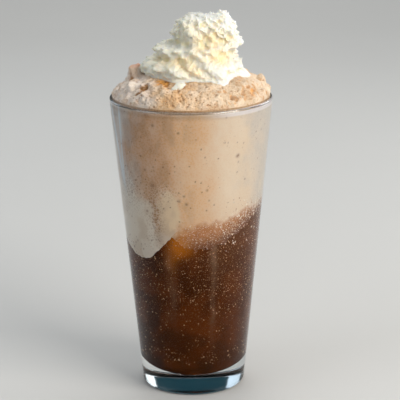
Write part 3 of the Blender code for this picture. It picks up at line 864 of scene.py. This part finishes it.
def make_foam_head():
    """The dome's superellipse, raised by the single mounds and pushed along lines from a
    point under it by waves and round lumps (the size of noise, which creases where it
    passes zero), then studded with small bubbles and pitted by burst pores."""
    segments = 560
    angle = front_bearings(segments)
    climb = np.concatenate((np.linspace(0.0, 0.9, 125), np.linspace(0.9, 0.5 * np.pi, 30)[1:-1]))
    smooth = polar(head_radius * np.cos(climb[:, None]) ** 0.5, angle, 0.0)
    x, y = smooth[..., 0], smooth[..., 1]
    smooth[..., 2] = head_height(x, y)
    wave = 0.0 * x
    for strength, (ax, ay, first), (bx, by, second) in foam_waves:
        wave = wave + strength * np.sin(ax * x + ay * y + first) * np.sin(bx * x + by * y + second)
    from_cream = x - cream_foot[0], y - cream_foot[1]
    seat = cream_seat + tongue_reach(np.arctan2(from_cream[1], from_cream[0]))
    aside = np.hypot(*from_cream)
    outside = soft_step(aside, seat, seat + cream_seat_fade)
    over = smooth[..., 2] - glass_height
    mound = 0.0 * x
    for (cx, cy), tall, width in foam_mounds:
        mound = mound + tall * np.exp(-((((x - cx) ** 2 + (y - cy) ** 2) / (2 * width**2)) ** 2))
    mound = mound * soft_step(aside, seat - 0.006, seat - 0.003) * soft_step(over, 0.0009, 0.0030)
    raised = smooth.copy()
    raised[..., 2] += mound
    stain = 0.0 * x
    for middle, long_, wide, turn in foam_stains:
        stain = np.maximum(stain, turned_bell(x, y, middle, long_, wide, turn))
    stain = soft_step(stain * (1.0 + 0.9 * rough_noise(raised, 0.0026, 27, 3)), 0.25, 0.85)
    centre = turned_bell(x, y, (-0.002, -0.040), 0.017, 0.013, 0.0)
    billow = np.abs(noise(raised, 0.0062, 21)) + 0.45 * np.abs(noise(raised, 0.0028, 22)) - 0.45
    pore_away, pore_own = nearest_cell(raised, 0.0021, 31)
    pore = soft_step(pore_away, 0.38, 0.14) * (pore_own > 0.72 - 0.34 * centre)
    small_away, small_own = nearest_cell(raised, 0.0012, 47)
    bead = np.sqrt(np.clip(1.0 - (small_away / 0.62) ** 2, 0.0, 1.0)) * (small_own > 0.3)
    hole = soft_step(small_away, 0.40, 0.15) * (small_own < 0.18 + 0.24 * centre)
    fine = head_lump * (1.0 - 0.5 * centre) * billow + head_grain * rough_noise(raised, 0.0026, 25, 4)
    fine = fine + head_bead * bead - head_pore * pore - head_hole * hole - head_wet_dip * stain
    front = soft_step(-y, 0.022, 0.034)
    push = wave * (1.0 - 0.6 * front) * outside * soft_step(over, 0.0015, 0.0050)
    push = push + fine * soft_step(over, 0.0009, 0.0024)
    away = smooth - np.array((0.0, 0.0, glass_height - 0.020))
    away = away / np.linalg.norm(away, axis=-1, keepdims=True)
    head = raised + away * push[..., None]
    skirt_r = inner_radius(glass_height - 0.003) + foam_reach
    skirt_r = np.array((0.30 * skirt_r, 0.7 * skirt_r, skirt_r, head_radius - 0.0004))[:, None]
    skirt_z = glass_height - head_seat + np.array((0.0, 0.0, 0.0002, 0.0026))[:, None]
    rings = np.concatenate((polar(skirt_r, angle, skirt_z), head))
    blotch = 0.5 + 0.5 * rough_noise(raised, 0.0050, 28, 4)
    # crest: painted highlight, lighter on the tops of the lumps
    marks = {"pit": pore + hole, "crest": 0.45 + billow, "stain": stain, "blotch": blotch}
    blank = np.zeros((4, segments))
    painted = {name: np.concatenate((blank, np.clip(part, 0, 1))) for name, part in marks.items()}
    paint = Paint("foam_head", Specular_IOR_Level=0.25)
    across = paint.axis("X") + paint.cloud(0.010, detail=4.0) * 0.018 - 0.009
    x_axis, stained = paint.axis("X"), paint.attribute("stain")
    high = paint.axis("Z").step(glass_height + 0.0150, glass_height + 0.0175)
    blotch = paint.attribute("blotch")
    warm = paint.specks(0.0034, 0.50, 0.22, 0.005, 0.40, 0.54, (0.7, 0, 0))
    grit = paint.specks(0.0013, 0.24, 0.10, 0.006, 0.44, 0.58, (0.3, 0, 0))
    tone = paint.layers(
        linear(208, 194, 186),
        (across.step(-0.028, -0.014), (196, 148, 96)),
        (across.step(-0.006, 0.018), (192, 166, 138)),
        (blotch.step(0.48, 0.20) * 0.55, (170, 118, 66)),
        (blotch.step(0.52, 0.85) * 0.40, (232, 210, 184)),
        # painted highlight on the lumps' tops
        (paint.attribute("crest").step(0.30, 0.95) * 0.35, (232, 216, 198)),
        (paint.cells(0.0010).step(0.18, 0.55) * 0.28, (246, 224, 192)),
        (high * x_axis.step(-0.022, -0.026) * 0.75, (196, 128, 86)),
        (warm * x_axis.step(0.004, 0.018) * 0.65, (188, 132, 74)),
        (grit * 0.55, (132, 88, 44)),
    )
    wet = paint.layers(
        linear(160, 104, 40),
        (paint.cloud(0.0030, detail=3.0).step(0.40, 0.62), (244, 172, 86)),
        (x_axis.step(-0.018, -0.022) * 0.75, (112, 74, 30)),
    )
    tone = paint.mix(stained * (0.92 - x_axis.step(0.0, 0.010) * 0.40), tone, wet)
    tone = paint.layers(tone, (paint.attribute("pit") * 0.55, (148, 98, 54)))
    paint.feed("Base Color", tone)
    paint.feed("Roughness", 0.5 - stained * 0.25)
    paint.feed("Normal", paint.bump(paint.cells(0.0008), 0.0003, strength=0.35))
    poles = (0, 0, glass_height - head_seat), (0, 0, head_height(0.0, 0.0))
    closed_piece("foam_head", rings, *poles, paint, "soda_foam", None, painted)


make_foam_head()

# The pale bubbles: small beads of gas at the wall where foam and soda run together under
# the foam's own edge, nearly white, since the foam shines through them. Each is a ball of
# a few faces that stands a little out of the foam.


def make_pale_bubbles():
    """Pale beads of the net where foam and soda run together, most near the foam."""
    angle, z, where, luck, big = wall_net(43, 0.0840, 0.1300, 0.0010)
    size = (0.00014 + 0.00024 * big**2.5) * (1.0 + 0.55 * soft_step(where, 16, 36))
    over = 1000.0 * z - wall_line(soda_edge, where)
    under = wall_line(foam_edge, where) - 1000.0 * z
    likely = 0.80 * soft_step(over, -1.5, 5.0) * soft_step(under, -3.5, 1.0)
    likely = likely + 0.07 * soft_step(under, -20.0, -3.0) * soft_step(where, 22, 40)
    ragged = soft_step(over, 1.0, 6.0) * soft_step(under, -5.5, -2.0)
    likely = likely + 0.35 * ragged * soft_step(where, 20, 40)
    likely = likely * soft_step(where, -14, 2) * soft_step(-where, -160, -120)
    keep = luck < likely
    tones = (214, 178, 148), (255, 246, 232)
    reach = foam_reach + foam_front
    wall_beads("pale_bubbles", angle[keep], z[keep], size[keep], reach, tones)


make_pale_bubbles()

# The whipped cream: sweetened cream from a star nozzle, piped round and up in one rope
# that leans to the right. Its rolls, ridges and torn teeth are one surface over bearing
# and height, pushed out along its own normals.

# The rope's outline: height over the rim, middle in x, and radius.
cream_stations = (
    (0.0135, 0.0022, 0.0266),
    (0.0165, 0.0016, 0.0266),
    (0.0196, 0.0006, 0.0252),
    (0.0226, 0.0042, 0.0222),
    (0.0276, 0.0048, 0.0222),
    (0.0300, 0.0083, 0.0189),
    (0.0345, 0.0087, 0.0176),
    (0.0385, 0.0078, 0.0157),
    (0.0414, 0.0080, 0.0126),
    (0.0430, 0.0081, 0.0095),
    (0.0437, 0.0080, 0.0042),
    (0.0439, 0.0080, 0.0004),
)
cream_crown = (0.0080, -0.0010, 0.0439)
cream_peak = (0.0172, -0.0020)
cream_pitch = 0.0086
cream_sink = 0.0004
# How far each kind of relief stands out of the rope, and how far its skin sinks.
roll_push, flute_push, tooth_push, torn_push, shred_push = 0.0029, 0.0013, 0.0006, 0.0006, 0.0003
crumple_push, spike_push, top_spike_push, skin_sink = 0.0006, 0.0019, 0.0017, 0.0009
# The peak's own lift and its half width, and the small spike's at the right.
peak_lift, peak_width = 0.0032, 0.0030
hook_lift, hook_rise, hook_tall, hook_wide = 0.0026, 0.0186, 0.0009, 0.11
# Hollows of the front, seen from it: middle (x, height over the rim), half length, half
# width, turn in degrees and depth; a negative depth is a raised fold.
cream_folds = (
    ((-0.0052, 0.0335), 0.0056, 0.0024, -50.0, 0.0012),
    ((0.0160, 0.0345), 0.0060, 0.0026, -33.0, 0.0019),
    ((0.0075, 0.0335), 0.0052, 0.0020, 75.0, 0.0013),
    ((-0.0145, 0.0218), 0.0068, 0.0019, 2.0, -0.0005),
    ((-0.0040, 0.0205), 0.0048, 0.0012, -48.0, 0.0014),
    ((-0.0120, 0.0292), 0.0060, 0.0016, -6.0, 0.0006),
    ((0.0175, 0.0248), 0.0058, 0.0022, -10.0, 0.0013),
    ((0.0245, 0.0205), 0.0030, 0.0009, 8.0, 0.0014),
    ((0.0100, 0.0150), 0.0020, 0.0010, 10.0, 0.0009),
    ((0.0010, 0.0350), 0.0085, 0.0014, -50.0, -0.0022),
    ((-0.0140, 0.0178), 0.0095, 0.0012, -2.0, -0.0012),
    ((-0.0115, 0.0252), 0.0075, 0.0011, -12.0, -0.0012),
    ((0.0238, 0.0320), 0.0110, 0.0032, -62.0, -0.0014),
    ((0.0120, 0.0340), 0.0050, 0.0009, 80.0, -0.0008),
    ((0.0160, 0.0190), 0.0095, 0.0032, -8.0, -0.0014),
    ((0.0060, 0.0245), 0.0060, 0.0030, -35.0, -0.0012),
)
# How far the right side draws in, by height over the rim: a notch over a small spike.
cream_right = (
    (0.0130, 0.0010), (0.0170, 0.0008), (0.0186, 0.0002), (0.0196, 0.0014), (0.0210, 0.0034),
    (0.0235, 0.0026), (0.0300, 0.0017), (0.0380, 0.0012), (0.0430, 0.0000),
)
# Painted warm glow of the front, pale yellow where light scatters in the thick cream, also lightening
# the recess at the left: as cream_folds, undeep.
cream_glows = (
    ((0.0090, 0.0315), 0.0110, 0.0070, -30.0),
    ((-0.0110, 0.0222), 0.0085, 0.0026, 4.0),
    ((0.0150, 0.0235), 0.0065, 0.0028, -8.0),
    ((0.0010, 0.0190), 0.0060, 0.0030, -20.0),
)


def smooth_path(stations, samples):
    """Samples of the smooth curve through the stations (Catmull-Rom, even spacing)."""
    known = np.array(stations)
    known = np.vstack((2 * known[0] - known[1], known, 2 * known[-1] - known[-2]))
    place = np.linspace(0.0, len(stations) - 1.000001, samples)
    first = place.astype(int)
    t = (place - first)[:, None]
    before, here, after, beyond = (known[first + k] for k in range(4))
    bend = 2 * before - 5 * here + 4 * after - beyond
    twist = 3 * here - before - 3 * after + beyond
    return 0.5 * (2 * here + (after - before) * t + bend * t**2 + twist * t**3)


def grid_normals(grid):
    """Unit normals of a closed grid: the cross product of its two directions."""
    along = np.roll(grid, -1, axis=1) - np.roll(grid, 1, axis=1)
    normal = np.cross(along, np.gradient(grid, axis=0))
    return normal / np.maximum(np.linalg.norm(normal, axis=-1, keepdims=True), 1e-12)


def cream_paint(name):
    """Near-white cream with a fine crumple, and painted light and shade: greyer at the left as painted
    shade, warm yellow painted shade in the folds that the mesh marks, and a painted warm glow where
    the mesh marks it.
    """
    paint = Paint(name, Specular_IOR_Level=0.3, Roughness=0.5, Subsurface_Weight=0.5)
    paint.feed("Subsurface Scale", 0.0022)
    paint.feed("Subsurface Radius", (1.0, 0.8, 0.5))
    # painted shade: greyer at the left, away from the key light, whiter at the right
    across = paint.axis("X") + paint.cloud(0.008, detail=3.0) * 0.010 - 0.005
    tone = paint.layers(
        linear(222, 218, 202),
        (across.step(-0.014, 0.020), (232, 230, 222)),
        # painted warm glow, where light scatters in the thick cream
        (paint.attribute("warm") * 0.85, (240, 220, 180)),
        # painted shade: warm yellow in the hollows and creases
        (paint.attribute("fold_shade").step(0.20, 0.95) * 0.65, (244, 228, 182)),
    )
    paint.feed("Base Color", tone)
    crumple = paint.cloud(0.0009, detail=4.0, rough=0.7)
    paint.feed("Normal", paint.bump(crumple, 0.0004, strength=0.5))
    return paint


def make_cream():
    """The stations' outline with helical rolls; then, along the surface's normals:
    folds, flutes and teeth (one less the size of a sine, so that they crest sharply)
    that stand out on the rolls' lips, torn ridges and a crumpled skin."""
    segments = 440
    samples = 215
    angle = front_bearings(segments)
    rise, middle, radius = smooth_path(cream_stations, samples).T[..., None]
    start, full, above = (cream_stations[k][0] for k in (0, 1, 3))
    turn = rise / cream_pitch - angle / (2 * np.pi)
    roll = np.abs(np.sin(np.pi * turn)) ** 0.7 - 0.62
    scallop = 0.0008 * np.sin(17 * angle + 9.0 * turn) + 0.0004 * np.sin(7 * angle - 13.0 * turn)
    whole = soft_step(radius, 0.002, 0.012) * soft_step(rise, start, full)
    smoother = soft_step(-np.sin(angle), 0.10, 0.70) * soft_step(rise, 0.014, 0.019)
    swell = (roll_push * roll * (1.0 - 0.70 * smoother) + scallop) * whole
    low = 1.0 - soft_step(rise, start, above)
    aside = np.angle(np.exp(1j * angle))
    height, inwards = np.array(cream_right, float).T
    spread = radius + swell + tongue_reach(angle) * low
    spread = spread - np.interp(rise, height, inwards) * np.exp(-((aside / 0.7) ** 2))
    x = middle + spread * np.cos(angle)
    y = cream_foot[1] + spread * np.sin(angle)
    on_foam = head_height(x, y) - cream_sink
    z = np.maximum(glass_height + rise + low * (on_foam - glass_height - start), on_foam)
    from_peak = np.hypot(x - cream_peak[0], y - cream_peak[1]) / peak_width
    z = z + peak_lift * np.exp(-0.5 * from_peak**2) * soft_step(rise, 0.030, 0.042)
    z = z + hook_lift * np.exp(-(((rise - hook_rise) / hook_tall) ** 2) - (aside / hook_wide) ** 2)
    body = np.stack((x, y, z), axis=-1)
    normal = grid_normals(body)
    phase = turn - np.floor(turn)
    lip = np.exp(-(((phase - 0.56) / 0.17) ** 2))
    patch = 0.5 + 0.5 * noise(body, 0.0075, 60)
    flute = 1.0 - np.abs(np.sin(26.0 * angle + 2.4 * turn + 2.2 * noise(body, 0.0055, 61)))
    tooth = 1.0 - np.abs(np.sin(58.0 * angle - 3.0 * turn + 2.6 * noise(body, 0.0040, 62)))
    torn = 1.0 - 2.0 * np.abs(noise(body, 0.0032, 63))
    shred = 1.0 - 2.0 * np.abs(noise(body, 0.0015, 64))
    crumple = rough_noise(body, 0.0042, 65, 3)
    sides = 1.0 - 0.5 * smoother
    point_away, point_own = nearest_cell(body, 0.0040, 66)
    spike = np.clip(1.0 - point_away / 0.45, 0.0, 1.0) ** 1.3 * (point_own > 0.30)
    top_away = nearest_cell(body, 0.0029, 70)[0]
    top_spike = np.clip(1.0 - top_away / 0.42, 0.0, 1.0) ** 1.3
    push = flute_push * flute**1.4 * (0.30 + 0.9 * lip) * patch * sides
    push = push + tooth_push * tooth**2 * (0.2 + lip) * sides
    push = push + (torn_push * torn + shred_push * shred) * (1.0 - 0.4 * smoother)
    push = push + crumple_push * crumple - skin_sink
    push = push + spike_push * spike * (1.0 - 0.85 * smoother) * soft_step(rise, 0.012, 0.020)
    push = push + top_spike_push * top_spike * soft_step(rise, 0.032, 0.038)
    front = soft_step(-(y - cream_foot[1]), 0.0, 0.006)
    hollow = 0.0 * push
    for spot, long_, wide, tilt, depth in cream_folds:
        bell = turned_bell(x, z - glass_height, spot, long_, wide, tilt) * front
        push = push - depth * bell
        hollow = np.maximum(hollow, depth / 0.0020 * bell)
    edge = soft_step(np.arange(samples)[:, None], 0, 5)
    reach = soft_step(radius, 0.0002, 0.0050) * soft_step(rise, start, full)
    body = body + normal * (push * reach * edge)[..., None]
    body[..., 2] = np.minimum(body[..., 2], cad_high.z - 0.0001)
    foot = np.array(cream_foot)
    flat = foot + (body[0, :, :2] - foot) * np.array((0.02, 0.35, 0.72))[:, None, None]
    under = head_height(flat[..., 0], flat[..., 1]) - cream_sink
    rings = np.concatenate((np.dstack((flat, under)), body))
    # painted warm shade, most in the hollows and the rolls' creases, least on the torn ridges and
    # flutes
    crease = soft_step(0.30 - np.minimum(phase, 1.0 - phase), 0.12, 0.28)
    fold_shade = 0.75 * hollow + 0.55 * crease + 0.25 - 0.35 * torn - 0.3 * flute
    # painted warm glow of the front, mottled
    warm = sum(turned_bell(x, z - glass_height, *glow) for glow in cream_glows) * front
    warm = warm * (1.0 + 0.8 * rough_noise(body, 0.0045, 69, 3))
    marks = {"fold_shade": np.clip(fold_shade, 0, 1) * whole, "warm": np.clip(warm, 0, 1)}
    blank = np.zeros((3, segments))
    painted = {name: np.concatenate((blank, part)) for name, part in marks.items()}
    poles = (*cream_foot, under[0].mean()), (*cream_crown[:2], glass_height + cream_crown[2])
    paint = cream_paint("whipped_cream")
    closed_piece("cream_swirl", rings, *poles, paint, "whipped_cream", "whipped_cream", painted)


make_cream()

# The flake: a torn scrap of the same whipped cream, 8 mm long, that lies on the foam in
# front of the swirl. It is a flattened ball with ridges.

flake_halves = (0.0040, 0.0016, 0.0011)
flake_ridge = 0.0004
flake_turn = math.radians(28.0)
flake_spot = (-0.0062, -0.0335)
flake_lift = 0.0009


def make_flake():
    """A torn flake: a flat ball, longer across, with ridged noise along its normals."""
    ball = ball_grid(96, 50)
    shape = ball * np.array(flake_halves)
    bumpy = 1.0 - 2.0 * np.abs(noise(shape, 0.0013, 91)) + 0.8 * noise(shape, 0.0026, 92)
    shape = shape + ball * (flake_ridge * bumpy)[..., None]
    cosine, sine = math.cos(flake_turn), math.sin(flake_turn)
    x = flake_spot[0] + shape[..., 0] * cosine - shape[..., 1] * sine
    y = flake_spot[1] + shape[..., 0] * sine + shape[..., 1] * cosine
    points = np.stack((x, y, shape[..., 2] + head_height(x, y) + flake_lift), axis=-1)
    # painted shade, warm yellow in the dips between the ridges
    painted = {"fold_shade": np.clip(0.3 - 0.5 * bumpy, 0.0, 1.0)[1:-1]}
    poles = points[0, 0], points[-1, 0]
    paint = cream_paint("cream_flake")
    closed_piece("cream_flake", points[1:-1], *poles, paint, "whipped_cream", None, painted)


make_flake()

# The stage: a plain pale floor, soft light from the right front and a cooler one from
# the left, and the camera at the photograph's angle. None of it is the object.


def stage_plane(name, corners, paint):
    """A flat quad of the stage from its four corners."""
    mesh = bpy.data.meshes.new(name)
    mesh.from_pydata(corners, [], [(0, 1, 2, 3)])
    mesh.materials.append(paint.material)
    plane = bpy.data.objects.new(name, mesh)
    bpy.context.scene.collection.objects.link(plane)


floor_paint = Paint("pale_floor", Specular_IOR_Level=0.2)
floor_paint.feed("Roughness", floor_paint.cloud(0.3) * 0.1 + 0.6)
floor_tone = floor_paint.layers(linear(196, 194, 190), (floor_paint.cloud(0.5), (204, 202, 198)))
floor_paint.feed("Base Color", floor_tone)
floor_half = 14.0
floor_corners = [(x * floor_half, y * floor_half, 0) for x, y in ((-1, -1), (1, -1), (1, 1), (-1, 1))]
stage_plane("floor", floor_corners, floor_paint)


def soft_light(name, place, aim, size, power, colour, shows_in_glass=True):
    """A square soft box at a place, turned to its aim."""
    light = bpy.data.lights.new(name, "AREA")
    light.size = size
    light.energy = power
    light.color = colour
    lamp = bpy.data.objects.new(name, light)
    lamp.location = place
    lamp.rotation_mode = "QUATERNION"
    lamp.rotation_quaternion = (Vector(aim) - Vector(place)).to_track_quat("-Z", "Y")
    lamp.visible_camera = False
    lamp.visible_transmission = shows_in_glass
    bpy.context.scene.collection.objects.link(lamp)


soft_light("key_right", (0.95, -0.77, 0.61), (0.0, 0.0, 0.12), 0.9, 19.9, (1.0, 0.97, 0.93))
soft_light("fill_left", (-1.25, -0.62, 0.62), (0.0, 0.0, 0.12), 0.9, 5.8, (0.86, 0.92, 1.0))
soft_light("top", (0.1, 0.35, 1.0), (0.0, 0.0, 0.15), 0.8, 2.6, (1.0, 1.0, 1.0))
soft_light("low_back_right", (0.72, 0.58, 0.39), (0.0, 0.0, 0.01), 0.42, 0.84, (0.92, 0.98, 1.0))
soft_light("low_back_left", (-0.66, 0.66, 0.39), (0.0, 0.0, 0.01), 0.44, 0.62, (0.72, 0.86, 1.0))
soft_light("far_floor", (0.0, 1.9, 1.6), (0.0, 1.6, 0.0), 1.6, 14.0, (1.0, 1.0, 1.0), False)

world = bpy.data.worlds.new("studio")
world.use_nodes = True
sky = world.node_tree.nodes
way = sky.new("ShaderNodeTexCoord")
height = sky.new("ShaderNodeSeparateXYZ")
shades = sky.new("ShaderNodeValToRGB")
world.node_tree.links.new(way.outputs["Generated"], height.inputs["Vector"])
world.node_tree.links.new(height.outputs["Z"], shades.inputs["Fac"])
world.node_tree.links.new(shades.outputs["Color"], sky["Background"].inputs["Color"])
stops = shades.color_ramp.elements
stops.new(0.22)
stops.new(0.50)
sky_tones = (
    (0.04, (0.20, 0.205, 0.21, 1.0)),
    (0.22, (0.004, 0.035, 0.05, 1.0)),
    (0.50, (0.004, 0.035, 0.05, 1.0)),
    (0.75, (0.50, 0.52, 0.54, 1.0)),
)
for stop, (sine, tone) in zip(stops, sky_tones):
    stop.position = sine
    stop.color = tone
bpy.context.scene.world = world
bpy.context.scene.view_settings.view_transform = "Standard"

camera_data = bpy.data.cameras.new("photo_camera")
camera_data.lens = 137.9
camera_data.sensor_width = 36.0
camera_data.clip_start = 0.01
camera = bpy.data.objects.new("photo_camera", camera_data)
eye = Vector((0.0044, -0.8121, 0.3374))
aim = Vector((0.0044, 0.0, 0.1044))
camera.location = eye
camera.rotation_mode = "QUATERNION"
camera_roll = Quaternion((0.0, 0.0, 1.0), math.radians(-0.48))
camera.rotation_quaternion = (aim - eye).to_track_quat("-Z", "Y") @ camera_roll
bpy.context.scene.collection.objects.link(camera)
bpy.context.scene.camera = camera
